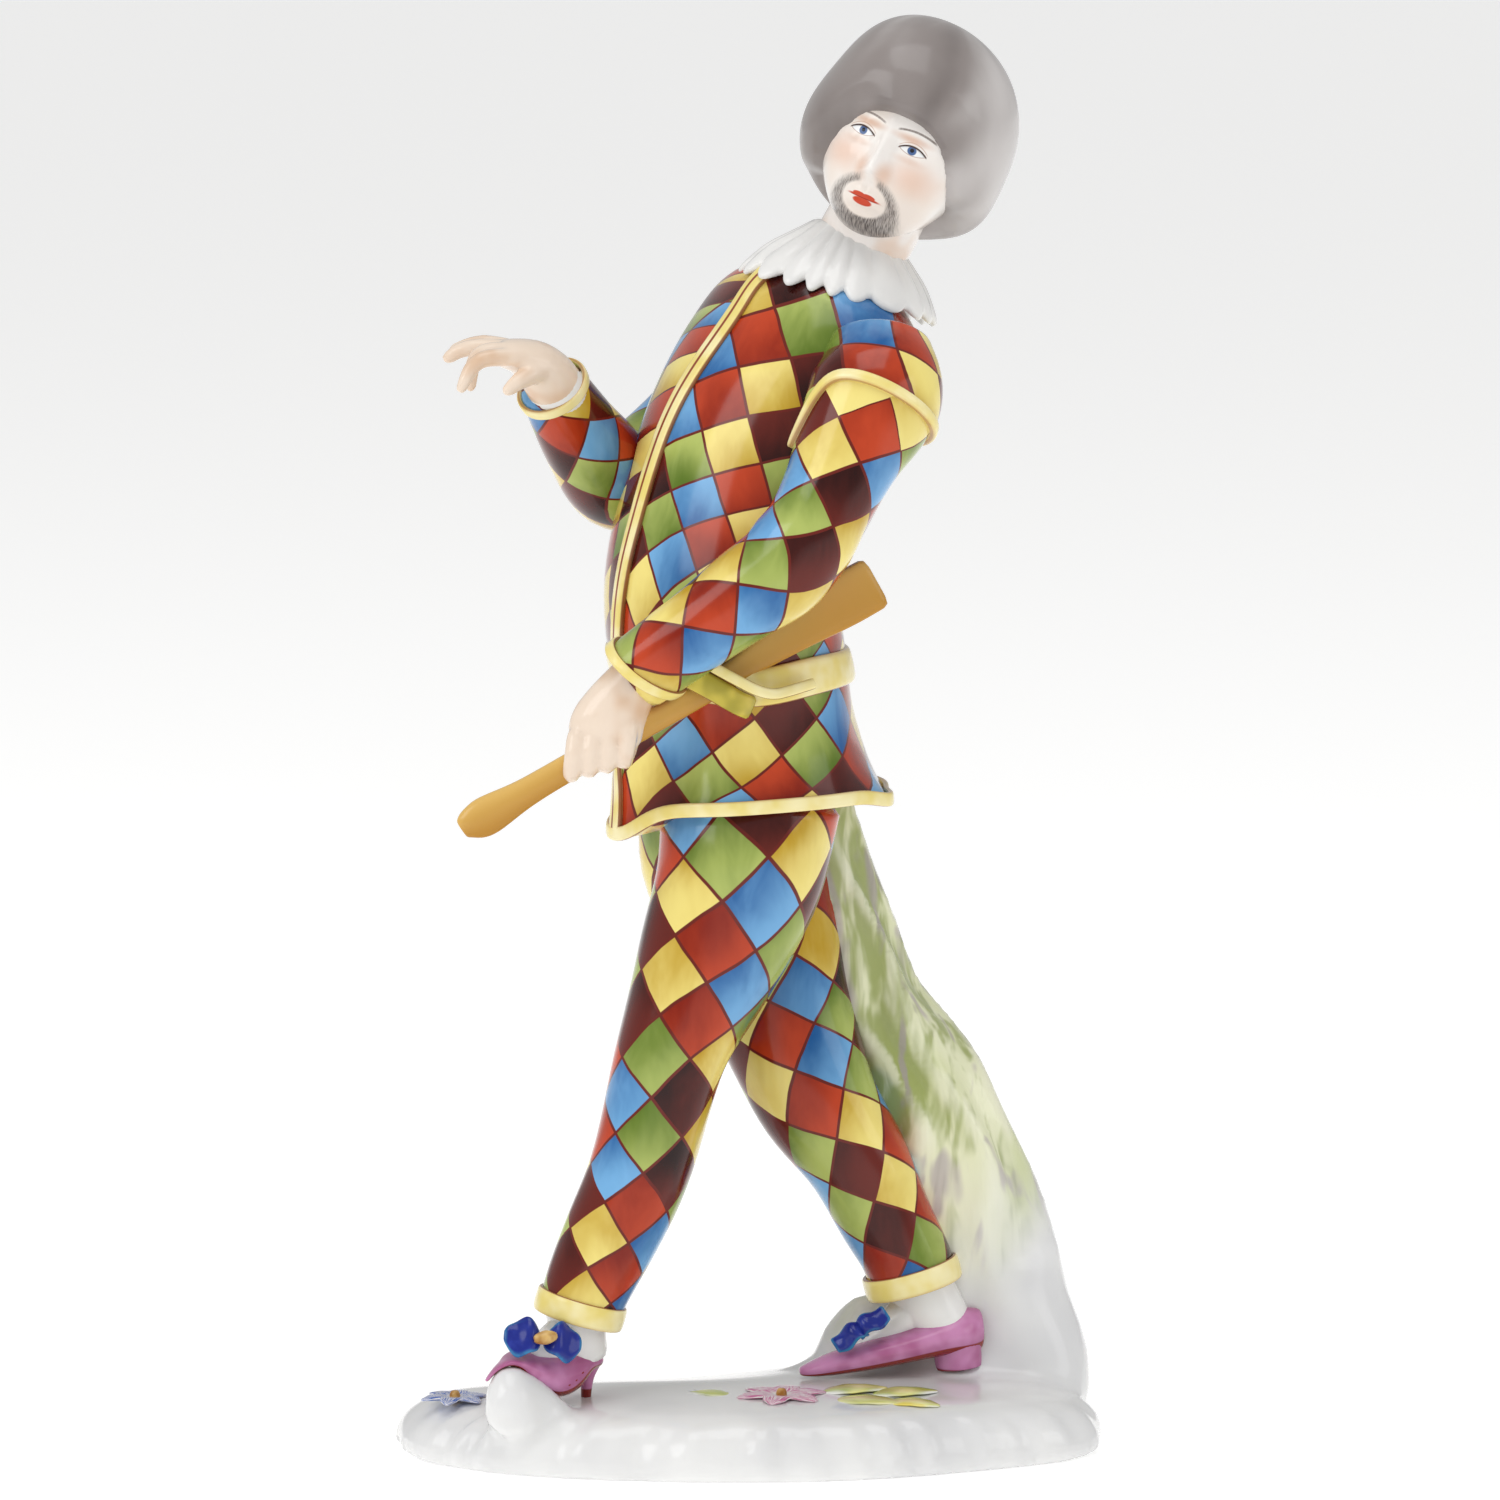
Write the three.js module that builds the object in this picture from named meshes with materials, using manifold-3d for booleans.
// A porcelain figurine: a comedian in a lozenge costume strides past a tree stump on a mound base.
// Millimetres, +Z up, origin in the middle of the base's underside. The viewer stands at -Y.

import * as THREE from "three";
import { mergeVertices } from "three/addons/utils/BufferGeometryUtils.js";
import Module from "manifold-3d";

const wasm = await Module();
wasm.setup();

// Driving sizes, in millimetres
const FIGURE_HEIGHT = 169;
const GROUND_HEIGHT = 8;
const MARGIN_BEFORE_TOE = 14;
const MARGIN_BEHIND_HEEL = 16;
const MARGIN_FRONT = 5.8;
const MARGIN_BACK = 17;
const BAT_THICKNESS = 2.4;
const SASH_RELIEF = 0.9;
const RUFF_THICKNESS = 1.5;
const HEEL_HEIGHT = 2.2;
const PETAL_THICKNESS = 0.9;

// The pose is given in hundredths of the figure's height, measured from the ground
const UNIT = FIGURE_HEIGHT / 100;
const TURN = 2 * Math.PI;
const figure = (x, y, z) => new THREE.Vector3(x * UNIT, y * UNIT, GROUND_HEIGHT + z * UNIT);
const radians = THREE.MathUtils.degToRad;
const mix = THREE.MathUtils.lerp;
const ease = THREE.MathUtils.smoothstep;
const bell = (distance, size) => Math.exp(-((distance / size) ** 2));
const UP = new THREE.Vector3(0, 0, 1);

// Places and turns that several forms share
const WAIST = [-1.2, 0, 51.5];
const WAIST_TURN = 64;
const NECK = [7, 3.6, 81];
const HEAD = [11, 1.6, 90.6];
const NEAR_ANKLE = [-12.8, -6.2, 6.4];
const FAR_ANKLE = [12.6, 3, 6.5];
const NEAR_HEEL = [-11.9, -5.2, -0.4];
const NEAR_TOE = [-17.9, -11.4, 3.2];
const FAR_HEEL = [16.6, 2.8, 0];
const FAR_TOE = [4, 1.2, 0.2];
const NEAR_WRIST = [-8.3, -11.8, 53.1];
const FAR_WRIST = [-14, -2.4, 73.4];

// A closed form with a pole at each end and rings between them: place(row, angle) gives each point
function form(around, rings, place) {
  const geometry = new THREE.SphereGeometry(1, around, rings + 1);
  const points = geometry.attributes.position;
  for (let i = 0; i < points.count; i += 1) {
    const column = (i % (around + 1)) % around;
    const row = Math.floor(i / (around + 1));
    points.setXYZ(i, ...place(row, TURN * column / around).toArray());
  }
  return geometry;
}

// The front of a ring is turned by so many degrees from the viewer towards the viewer's left
function facing(axis, turn) {
  const front = new THREE.Vector3(-Math.sin(radians(turn)), -Math.cos(radians(turn)), 0);
  const side = front.cross(axis).normalize();
  return [axis.clone().cross(side), side];
}

// A form swept through stations of [x, y, z, half width, half depth, turn of its front]
function swept({ around, rings, stations, tip = 0, fold = () => 1 }) {
  const path = new THREE.CatmullRomCurve3(stations.map(([x, y, z]) => figure(x, y, z)));
  const sizes = new THREE.CatmullRomCurve3(stations.map((station) => new THREE.Vector3(...station.slice(3))));
  return form(around, rings, (row, angle) => {
    const along = THREE.MathUtils.clamp((row - 1) / (rings - 1), 0, 1);
    const centre = path.getPoint(along);
    const axis = path.getTangent(along);
    if (row === 0 || row > rings) {
      return centre.addScaledVector(axis, (row === 0 ? -tip : tip) * UNIT);
    }
    const size = sizes.getPoint(along);
    const [ahead, side] = facing(axis, size.z);
    const reach = UNIT * fold(along, angle);
    centre.addScaledVector(side, Math.sin(angle) * size.x * reach);
    return centre.addScaledVector(ahead, Math.cos(angle) * size.y * reach);
  });
}

// A round finger, stem or stone through [x, y, z, radius] stations
const tube = (around, rings, stations, tip) =>
  swept({ around, rings, tip, stations: stations.map(([x, y, z, radius]) => [x, y, z, radius, radius, 0]) });

// A flattened petal, leaf or bow loop that lies along a direction on a surface
function leaf(centre, length, width, thickness, direction, normal, sides = 6, rings = 3) {
  const geometry = new THREE.SphereGeometry(0.5, sides, rings);
  const along = direction.clone().normalize();
  const across = normal.clone().cross(along).normalize();
  const matrix = new THREE.Matrix4().makeBasis(
    along.clone().multiplyScalar(length),
    across.multiplyScalar(width),
    across.clone().cross(along).normalize().multiplyScalar(-thickness),
  );
  return geometry.applyMatrix4(matrix.setPosition(centre));
}

// The jacket, from the hem of its skirt to the neck
const jacket = () => swept({
  around: 20,
  rings: 11,
  stations: [
    [0, 0, 42.2, 10.2, 10.7, 66],
    [-0.2, 0, 46.5, 9.7, 9.6, 66],
    [...WAIST, 9.2, 8.1, WAIST_TURN],
    [-2.1, 0, 57.5, 9.8, 8.2, 62],
    [-0.9, 0.8, 63.5, 10.2, 8.2, 58],
    [1.4, 1.6, 69.5, 10.6, 8.5, 56],
    [3.9, 2.4, 74.6, 10.2, 8, 55],
    [5.7, 3, 78.4, 9, 6.8, 55],
    [...NECK, 4.4, 4.4, 50],
  ],
  fold: (along, angle) => 1 + 0.02 * Math.sin(3 * angle + 9 * along),
});

// The sash rides on the waist and sags where the bat is tucked in
function sash() {
  const rings = 4;
  const wide = 9.1;
  const deep = 7.8;
  const halfHeight = 1.1;
  const lift = 1.2;
  const sag = 2.6;
  const sagAt = radians(-65);
  const [x, y, z] = WAIST;
  return form(20, rings, (row, angle) => {
    const centre = figure(x, y, z + lift / 2);
    if (row === 0 || row > rings) {
      return centre;
    }
    const outer = row === 2 || row === 3;
    const [ahead, side] = facing(UP, WAIST_TURN);
    const relief = outer ? SASH_RELIEF : -SASH_RELIEF;
    const nearness = bell(Math.atan2(Math.sin(angle - sagAt), Math.cos(angle - sagAt)), 0.6);
    const height = (row < 3 ? halfHeight : -halfHeight) + lift - sag * nearness;
    centre.addScaledVector(side, Math.sin(angle) * (wide * UNIT + relief));
    centre.addScaledVector(ahead, Math.cos(angle) * (deep * UNIT + relief));
    return centre.addScaledVector(UP, height * UNIT);
  });
}

// Loose trousers with soft folds behind the knee, and a stocking in each
const trouserLeg = (stations) => swept({
  around: 16,
  rings: 10,
  stations,
  fold: (along, angle) => 1 + 0.025 * Math.sin(20 * along) * Math.cos(angle - 2),
});
const nearLeg = () => trouserLeg([
  [0.2, -3.4, 44, 6.6, 5, 0],
  [-0.4, -4, 39.9, 6.3, 5.6, 0],
  [-1.3, -4.4, 36.3, 5.9, 5.2, 0],
  [-3.2, -4.8, 31.5, 5.2, 4.8, 0],
  [-5.4, -5.4, 26.4, 4.2, 4.4, 0],
  [-6.5, -5.8, 22.1, 3.9, 4.1, 0],
  [-8.2, -6, 16.3, 3.7, 3.8, 0],
  [-10, -6.1, 11.7, 3.6, 3.5, 0],
  [-12.1, -6.2, 6.7, 3.3, 3.3, 0],
]);
const farLeg = () => trouserLeg([
  [-1.2, 3.6, 44, 6.4, 5, 0],
  [-1.2, 4.6, 38, 7, 5.4, 0],
  [1, 4.4, 32, 5.8, 4.9, 0],
  [2.6, 3.8, 26, 5.2, 4.5, 0],
  [4.7, 3, 21, 4.6, 4.2, 0],
  [7.7, 2.8, 16.2, 3.9, 3.8, 0],
  [10, 2.9, 11.6, 3.5, 3.5, 0],
  [12.2, 3, 7.3, 3.1, 3.2, 0],
]);
const stocking = (ankle, heel) => swept({
  around: 10,
  rings: 3,
  stations: [
    [ankle[0], ankle[1], ankle[2] + 1.2, 2.2, 2.2, 0],
    [...ankle, 2.2, 2.2, 0],
    [mix(ankle[0], heel[0], 0.6), mix(ankle[1], heel[1], 0.6), 2.8, 2, 2.2, 0],
  ],
});

// The instep slopes from the ankle to the ball of the foot, under the bow
const instep = (ankle, toe) => tube(8, 3, [
  [ankle[0], ankle[1], ankle[2] - 0.8, 1.9],
  [mix(ankle[0], toe[0], 0.35), mix(ankle[1], toe[1], 0.35), mix(ankle[2], toe[2], 0.5) - 0.3, 1.7],
  [mix(ankle[0], toe[0], 0.7), mix(ankle[1], toe[1], 0.7), mix(ankle[2], toe[2], 0.8), 1],
], 0.3);

// A heeled court shoe from heel to toe, with its sole and a tapered heel under it
function shoe(heel, toe, turn, arch) {
  const span = (share, lift, wide, deep) => [
    mix(heel[0], toe[0], share),
    mix(heel[1], toe[1], share),
    mix(HEEL_HEIGHT / UNIT, toe[2], share) - arch * 4 * share * (1 - share) + lift,
    wide,
    deep,
    turn,
  ];
  const upper = swept({
    around: 12,
    rings: 7,
    tip: 0.5,
    stations: [
      span(0.04, 1.5, 1.7, 1.2),
      span(0.16, 1.5, 1.9, 1.5),
      span(0.42, 1.3, 1.5, 1.6),
      span(0.68, 0.9, 1, 1.9),
      span(0.88, 0.7, 0.7, 1.5),
      span(0.98, 0.5, 0.4, 0.8),
    ],
  });
  const top = HEEL_HEIGHT / UNIT + 0.8;
  const heelBlock = swept({
    around: 10,
    rings: 3,
    stations: [
      [mix(heel[0], toe[0], 0.12), mix(heel[1], toe[1], 0.12), top, 1.4, 1.3, turn],
      [mix(heel[0], toe[0], 0.08), mix(heel[1], toe[1], 0.08), heel[2] - 0.3, 0.8, 0.9, turn],
    ],
  });
  return [upper, heelBlock];
}

// Two loops and a knot
function bow(centre, spread, normal) {
  const middle = figure(...centre);
  const across = new THREE.Vector3(...spread);
  const front = new THREE.Vector3(...normal);
  const loop = (way) => leaf(
    middle.clone().addScaledVector(across, way * 1.5 * UNIT),
    3.3 * UNIT,
    2.5 * UNIT,
    1.3 * UNIT,
    across,
    front,
    7,
    4,
  );
  return [loop(-1), loop(1), leaf(middle, 1.5 * UNIT, 1.1 * UNIT, 1.9 * UNIT, across, front)];
}

// Sleeves: the near one carries the bat, the far one is raised with its hand held out
const nearSleeve = () => swept({
  around: 14,
  rings: 11,
  stations: [
    [9.4, -5.4, 76.8, 3.6, 3, 0],
    [9, -8, 73.4, 4.8, 4.4, 0],
    [7, -10, 69.4, 3.9, 3.7, 0],
    [5.2, -11.3, 65.6, 3.5, 3.5, 0],
    [3, -12.3, 62, 3.6, 3.5, 0],
    [-0.8, -12.7, 59.1, 3.3, 3.2, 0],
    [-4.3, -12.6, 56.5, 3, 2.9, 0],
    [-7.8, -12, 53.9, 2.8, 2.4, 0],
  ],
});
const farSleeve = () => swept({
  around: 12,
  rings: 9,
  stations: [
    [0.6, 8, 76.6, 2.2, 2.6, 0],
    [-1.6, 9.4, 73, 3.8, 4, 0],
    [-4.8, 8.4, 69, 4, 4, 0],
    [-9, 5.4, 66, 4, 3.8, 0],
    [-11.8, 1.6, 69, 3.3, 3.3, 0],
    [-14.1, -2, 73, 2.5, 2.6, 0],
  ],
});
const cuff = () => tube(12, 3, [[-13, -0.6, 71.4, 2], [...FAR_WRIST, 1.9], [-14.6, -3, 74.4, 1.8]], 0.3);

// The far hand hangs open from the wrist with its fingers apart
function farHand() {
  const palm = swept({
    around: 12,
    rings: 5,
    tip: 0.3,
    stations: [
      [...FAR_WRIST, 1.6, 1.7, 0],
      [-15.2, -3.6, 75, 1.5, 1.8, 0],
      [-16.6, -4.4, 75.9, 1.2, 2, 0],
      [-18, -4.8, 76.1, 0.9, 1.9, 0],
    ],
  });
  const fingers = [
    [[-17, -6.1, 76, 0.7], [-18.9, -6.6, 75.9, 0.65], [-20, -7, 75.2, 0.6], [-20.7, -7.3, 73.8, 0.45]],
    [[-17, -5.2, 76.3, 0.7], [-19, -5.5, 76.3, 0.65], [-19.9, -5.8, 75.4, 0.6], [-20.1, -5.9, 73.8, 0.45]],
    [[-17, -4.2, 76.4, 0.7], [-19.2, -4, 76.4, 0.6], [-20.6, -3.9, 76, 0.55], [-21.5, -3.8, 75.2, 0.4]],
    [[-16.8, -3.3, 76.3, 0.65], [-18.8, -2.6, 76.6, 0.55], [-20.2, -2.4, 76.4, 0.5], [-21.2, -2.3, 76, 0.4]],
    [[-14.6, -4.4, 75, 0.9], [-15.6, -5.6, 74.7, 0.85], [-16.5, -6.5, 74.3, 0.7], [-17.4, -7.1, 73.6, 0.5]],
  ];
  return [palm, ...fingers.map((stations) => tube(6, 5, stations, 0.35))];
}

// The near hand closes round the bat with the back of it to the viewer
function nearHand() {
  const palm = swept({
    around: 12,
    rings: 6,
    tip: 0.3,
    stations: [
      [NEAR_WRIST[0] + 1, NEAR_WRIST[1], NEAR_WRIST[2] + 1.2, 1.9, 1.7, 0],
      [...NEAR_WRIST, 2, 1.8, 0],
      [-9.5, -12.1, 51.2, 2.6, 1.8, 0],
      [-10.4, -12.3, 49.3, 3, 1.8, 0],
      [-10.8, -12.1, 47.8, 2.6, 1.5, 0],
    ],
  });
  const finger = (share) => {
    const x = mix(-12.6, -8.7, share);
    const z = mix(48.2, 49.2, share);
    return tube(6, 6, [
      [x, -13, z, 0.75],
      [x - 0.2, -13.3, z - 1.2, 0.75],
      [x - 0.4, -12.7, z - 2.1, 0.7],
      [x - 0.2, -11.4, z - 2.2, 0.65],
      [x + 0.2, -10.4, z - 1.2, 0.6],
    ], 0.3);
  };
  const thumb = tube(6, 4, [[-8.4, -11, 51.4, 0.9], [-7.4, -10.2, 50.6, 0.85], [-8, -9.8, 49, 0.7]], 0.3);
  return [palm, finger(0), finger(1 / 3), finger(2 / 3), finger(1), thumb];
}

// The flat bat: a knob, a round grip and a blade that widens to a square end
function bat() {
  const flat = BAT_THICKNESS / 2 / UNIT;
  return swept({
    around: 10,
    rings: 9,
    tip: 0.5,
    stations: [
      [-20, -13, 43, 1, flat, 0],
      [-18.8, -12.9, 43.6, 1.5, flat, 0],
      [-16.4, -12.7, 45, 1.1, flat, 0],
      [-14, -12.4, 46.4, 1, flat, 0],
      [-10.4, -11.8, 48.4, 1, flat, 0],
      [-3.6, -10.2, 52, 0.9, flat, 0],
      [-0.6, -9.2, 53.9, 1, flat, 0],
      [3.4, -8.6, 56.4, 1.3, flat, 0],
      [9.1, -7.7, 59.8, 1.7, flat, 0],
    ],
  });
}

// The pleated ruff slopes down and out from the neck
function ruff() {
  const pleats = 16;
  const rings = 5;
  const slope = new THREE.Vector3(0.28, 0.08, 1).normalize();
  const half = RUFF_THICKNESS / 2 / UNIT;
  const middle = 1.9;
  const waveLift = 0.65;
  const waveReach = 0.25;
  const rows = [
    [2.8, 2.6 + half, 0],
    [4.8, 1.4 + half, 0.3],
    [7.3, -0.8 + half, 1],
    [7.3, -0.8 - half, 1],
    [4, 0.9 - half, 0.2],
  ];
  return form(4 * pleats, rings, (row, angle) => {
    const [x, y, z] = NECK;
    const centre = figure(x - 0.2, y - 0.6, z + 0.1);
    if (row === 0 || row > rings) {
      return centre.addScaledVector(slope, middle * UNIT);
    }
    const [radius, height, wave] = rows[row - 1];
    const [ahead, side] = facing(slope, 20);
    const lift = height + wave * waveLift * Math.sin(pleats * angle);
    const reach = UNIT * (radius + wave * waveReach * Math.cos(pleats * angle));
    centre.addScaledVector(ahead, Math.cos(angle) * reach).addScaledVector(side, Math.sin(angle) * reach);
    return centre.addScaledVector(slope, lift * UNIT);
  });
}

const neck = () => tube(12, 4, [
  [6.6, 3.6, 79, 3.7],
  [7.6, 3, 82.4, 3.6],
  [9.2, 2.2, 85.5, 3.6],
  [10.2, 2, 88, 3.6],
]);

// The head leans to its own left; its own directions are side (its left), ahead and up
const HEAD_UP = new THREE.Vector3(0.4, 0.04, 0.915).normalize();
const HEAD_AHEAD = new THREE.Vector3(-0.22, -0.97, 0.1).projectOnPlane(HEAD_UP).normalize();
const HEAD_SIDE = HEAD_UP.clone().cross(HEAD_AHEAD).normalize();
const FACE_HEIGHT = 14.2;

function headPoint(side, ahead, up) {
  return figure(...HEAD)
    .addScaledVector(HEAD_SIDE, side * UNIT)
    .addScaledVector(HEAD_AHEAD, ahead * UNIT)
    .addScaledVector(HEAD_UP, up * UNIT);
}

// Relief of the face as [side, height, half width, half height, depth], in shares of the face's height
const FACE_RELIEF = [
  [0, -0.08, 0.045, 0.12, 0.05],
  [0, -0.165, 0.06, 0.05, 0.055],
  [0, -0.285, 0.09, 0.03, 0.022],
  [0, -0.35, 0.07, 0.025, -0.016],
  [0, -0.43, 0.09, 0.06, 0.035],
  [0.15, 0, 0.07, 0.05, -0.03],
  [-0.15, 0, 0.07, 0.05, -0.03],
  [0.14, 0.09, 0.1, 0.04, 0.012],
  [-0.14, 0.09, 0.1, 0.04, 0.012],
  [0.2, -0.14, 0.1, 0.1, 0.015],
  [-0.2, -0.14, 0.1, 0.1, 0.015],
];

function head() {
  const rings = 13;
  const half = { side: 0.36, ahead: 0.42, up: 0.5 };
  const facesForward = 0.55;
  return form(22, rings, (row, turn) => {
    const angle = turn - facesForward * Math.sin(turn);
    const polar = Math.PI * row / (rings + 1);
    const up = Math.cos(polar) * half.up;
    const jaw = ease(-up, 0.05, 0.5);
    const side = Math.sin(polar) * Math.sin(angle) * half.side * (1 - 0.1 * jaw);
    let ahead = Math.sin(polar) * Math.cos(angle) * half.ahead + 0.06 * jaw;
    const facial = ease(Math.sin(polar), 0, 0.3) * ease(Math.cos(angle), 0, 0.3);
    for (const [atSide, atUp, wide, high, depth] of FACE_RELIEF) {
      ahead += facial * depth * bell(side - atSide, wide) * bell(up - atUp, high);
    }
    return headPoint(side * FACE_HEIGHT, ahead * FACE_HEIGHT, up * FACE_HEIGHT);
  });
}

// The round felt cap covers the skull and leaves the face free
function cap() {
  const rings = 11;
  const half = { side: 8.1, ahead: 7.8, up: 8.2 };
  return form(16, rings, (row, angle) => {
    const polar = Math.PI * row / (rings + 1);
    const side = Math.sin(polar) * Math.sin(angle);
    const ahead = Math.sin(polar) * Math.cos(angle);
    const up = Math.cos(polar);
    const window = ease(ahead - 0.5 * up, 0.44, 0.6);
    const slant = 1 - 0.13 * bell(side + 0.85, 0.5) * bell(up - 0.45, 0.5);
    const reach = slant * mix(1, 0.7, window);
    const height = slant * mix(1, 0.9, window);
    return headPoint(
      side * reach * half.side - 0.3,
      ahead * reach * half.ahead - 0.6,
      up * height * half.up + 1.6,
    );
  });
}

// The stump behind the far leg, with deep bark grooves, spreading into the base
const stump = () => swept({
  around: 16,
  rings: 12,
  stations: [
    [16.8, 7, -3, 8.8, 6.4, 0],
    [16.8, 7.6, 3.5, 7.4, 4.6, 0],
    [16, 7.6, 9.6, 6.3, 4.4, 0],
    [14, 7.4, 16.1, 5.6, 4.4, 0],
    [11.4, 7.4, 21.8, 5.1, 4.2, 0],
    [8.5, 7.2, 26.8, 4.2, 4, 0],
    [6.6, 7, 33.7, 3.7, 3.6, 0],
    [5, 6.4, 38.5, 3.4, 3.4, 0],
    [3.6, 5.6, 43.5, 3.2, 3.2, 0],
  ],
  fold: (along, angle) =>
    1 + 0.05 * Math.sin(7 * angle + 5 * along) + 0.03 * Math.sin(11 * angle - 8 * along),
});

// The mound base: a flat underside and a soft fluted edge, sized by what stands on it
function base() {
  const left = figure(...NEAR_TOE).x - MARGIN_BEFORE_TOE;
  const right = figure(...FAR_HEEL).x + MARGIN_BEHIND_HEEL;
  const front = figure(...NEAR_TOE).y - MARGIN_FRONT;
  const back = figure(...FAR_HEEL).y + MARGIN_BACK;
  const flutes = 12;
  const fluteDepth = 0.014;
  const roundness = 0.86;
  const rows = [
    [0.965, 0],
    [1, 0.18],
    [0.985, 0.42],
    [0.94, 0.68],
    [0.86, 0.86],
    [0.7, 0.98],
  ];
  return form(36, rows.length, (row, angle) => {
    const [reach, height] = row === 0 ? [0, 0] : rows[row - 1] ?? [0, 1];
    const flute = reach + fluteDepth * Math.sin(flutes * angle) * Math.sin(Math.PI * height);
    const across = Math.sign(Math.cos(angle)) * Math.abs(Math.cos(angle)) ** roundness * flute;
    const away = Math.sign(Math.sin(angle)) * Math.abs(Math.sin(angle)) ** roundness * flute;
    const narrowing = 1 - 0.22 * ease(across, 0.1, 1) * ease(-away, 0, 1);
    const lie = 1 - 0.07 * ease(-across, 0, 1) - 0.42 * ease(away, -0.1, 1) * ease(-across, -0.5, 0.3);
    const x = (left + right) / 2 + (right - left) / 2 * across;
    const y = (front + back) / 2 + (back - front) / 2 * away * narrowing;
    return new THREE.Vector3(x, y, GROUND_HEIGHT * height * lie);
  });
}

// White stones under the raised toe and behind the far shoe
const stones = () => [
  tube(10, 4, [[-16.3, -8.4, -2.5, 2.3], [-16.5, -9.4, 0.3, 2.4], [-16.9, -10.3, 2.2, 1.7]], 0.8),
  tube(10, 4, [[7.6, 7.6, -3, 5.4], [8, 7, 1, 4], [9.4, 6.2, 4, 2]], 0.8),
];

// Applied flowers and leaves lie on the ground near its front and left edges
function flower(x, y, z, petals, radius) {
  const centre = figure(x, y, z);
  const shapes = [leaf(centre, radius, radius, 2 * PETAL_THICKNESS, new THREE.Vector3(1, 0, 0), UP)];
  for (let i = 0; i < petals; i += 1) {
    const angle = TURN * i / petals;
    const way = new THREE.Vector3(Math.cos(angle), Math.sin(angle), 0.1);
    const place = centre.clone().addScaledVector(way, radius * 0.85);
    shapes.push(leaf(place, radius * 1.4, radius, PETAL_THICKNESS * 1.4, way, UP));
  }
  return shapes;
}
const sprig = (leaves) => leaves.map(([x, y, z, length, heading]) => {
  const way = new THREE.Vector3(Math.cos(radians(heading)), Math.sin(radians(heading)), 0.12);
  return leaf(figure(x, y, z), length * UNIT, length * 0.42 * UNIT, PETAL_THICKNESS * 1.5, way, UP);
});
const plants = () => [
  ...flower(2.6, -5, 0.1, 5, 2.6),
  ...flower(-21.4, -3, -0.6, 5, 2.2),
  ...sprig([
    [-1.2, -3.4, 0, 3.6, 160],
    [6.6, -4.6, 0.2, 4, 10],
    [8.4, -6.4, 0.1, 4, -35],
    [10, -3.6, 0.1, 4, 25],
  ]),
];

// Every form is joined to the others as raw porcelain is, and the bubbles between them are filled
function solid(geometry) {
  geometry.deleteAttribute("normal");
  geometry.deleteAttribute("uv");
  const merged = mergeVertices(geometry, 1e-5);
  const vertProperties = new Float32Array(merged.attributes.position.array);
  const triVerts = new Uint32Array(merged.index.array);
  if (signedVolume(vertProperties, triVerts) < 0) {
    for (let i = 0; i < triVerts.length; i += 3) {
      [triVerts[i], triVerts[i + 1]] = [triVerts[i + 1], triVerts[i]];
    }
  }
  return new wasm.Manifold(new wasm.Mesh({ numProp: 3, vertProperties, triVerts }));
}

function signedVolume(points, triangles) {
  const corner = (i) => new THREE.Vector3().fromArray(points, 3 * triangles[i]);
  let volume = 0;
  for (let i = 0; i < triangles.length; i += 3) {
    volume += corner(i).dot(corner(i + 1).cross(corner(i + 2))) / 6;
  }
  return volume;
}

function joined(geometries) {
  const whole = geometries.map(solid).reduce((sum, next) => sum.add(next));
  const skins = whole.decompose().filter((shell) => shell.volume() > 0);
  const mesh = skins.reduce((sum, next) => sum.add(next)).getMesh();
  const points = new Float32Array(mesh.vertProperties);
  const geometry = new THREE.BufferGeometry();
  geometry.setAttribute("position", new THREE.BufferAttribute(points, mesh.numProp));
  geometry.setIndex(new THREE.BufferAttribute(new Uint32Array(mesh.triVerts), 1));
  geometry.computeVertexNormals();
  return geometry;
}

const porcelain = new THREE.MeshStandardMaterial({ color: 0xf1efec, roughness: 0.12, metalness: 0 });
const figurine = new THREE.Mesh(joined([
  base(),
  ...stones(),
  stump(),
  instep(NEAR_ANKLE, NEAR_TOE),
  instep(FAR_ANKLE, FAR_TOE),
  ...shoe(NEAR_HEEL, NEAR_TOE, 0, 0.8),
  ...shoe(FAR_HEEL, FAR_TOE, 0, 0),
  stocking(NEAR_ANKLE, NEAR_HEEL),
  stocking(FAR_ANKLE, FAR_HEEL),
  nearLeg(),
  farLeg(),
  jacket(),
  sash(),
  nearSleeve(),
  farSleeve(),
  cuff(),
  ...farHand(),
  ...nearHand(),
  bat(),
  neck(),
  ruff(),
  head(),
  cap(),
  ...bow([-14.9, -9, 4.8], [0.93, -0.3, -0.15], [-0.3, -0.8, 0.6]),
  ...bow([8.5, 1, 3.8], [0.8, 0, 0.6], [-0.2, -0.6, 0.6]),
  ...plants(),
]), porcelain);
figurine.name = "porcelain_figurine";

const group = new THREE.Group();
group.add(figurine);

export default group;
